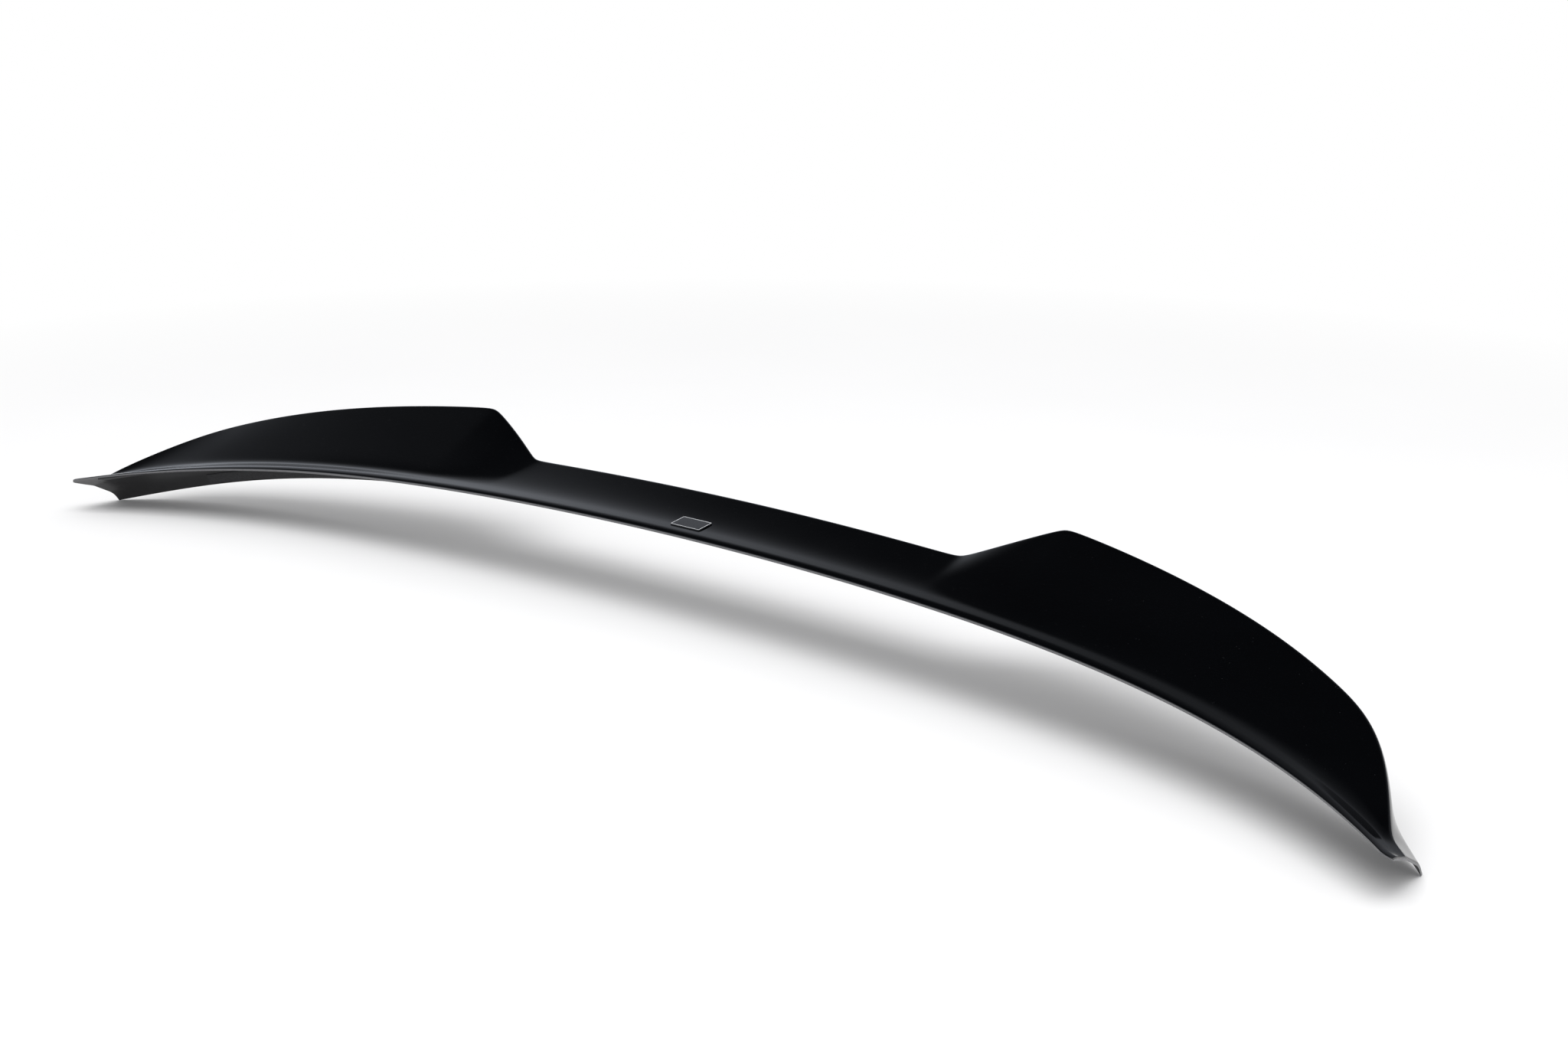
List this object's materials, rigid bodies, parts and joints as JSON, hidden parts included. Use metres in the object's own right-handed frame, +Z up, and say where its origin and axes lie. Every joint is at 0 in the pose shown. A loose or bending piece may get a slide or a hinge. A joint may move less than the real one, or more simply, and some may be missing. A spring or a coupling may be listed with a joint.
{
  "type": "car rear spoiler",
  "caption": "Thin moulded cap spoiler for a boot lid: a low middle lip between raised horns, with a bonded front flange and a rear flange that hooks over the lid's edge.",
  "frame": {"origin": "on the boot lid's surface in the mid-plane, under the middle of the front tape", "axes": "+X across the car to its left, +Y to the rear, +Z up"},
  "size_m": [1.15, 0.1885, 0.0996],
  "materials": {
    "shell": "gloss black ABS",
    "tape": "black foam tape",
    "badge": "blank label with a pale rim"
  },
  "bodies": {
    "root": {"spoiler_shell": "shell", "front_tape": "tape", "rear_tape": "tape", "badge": "badge"}
  },
  "joints": []
}
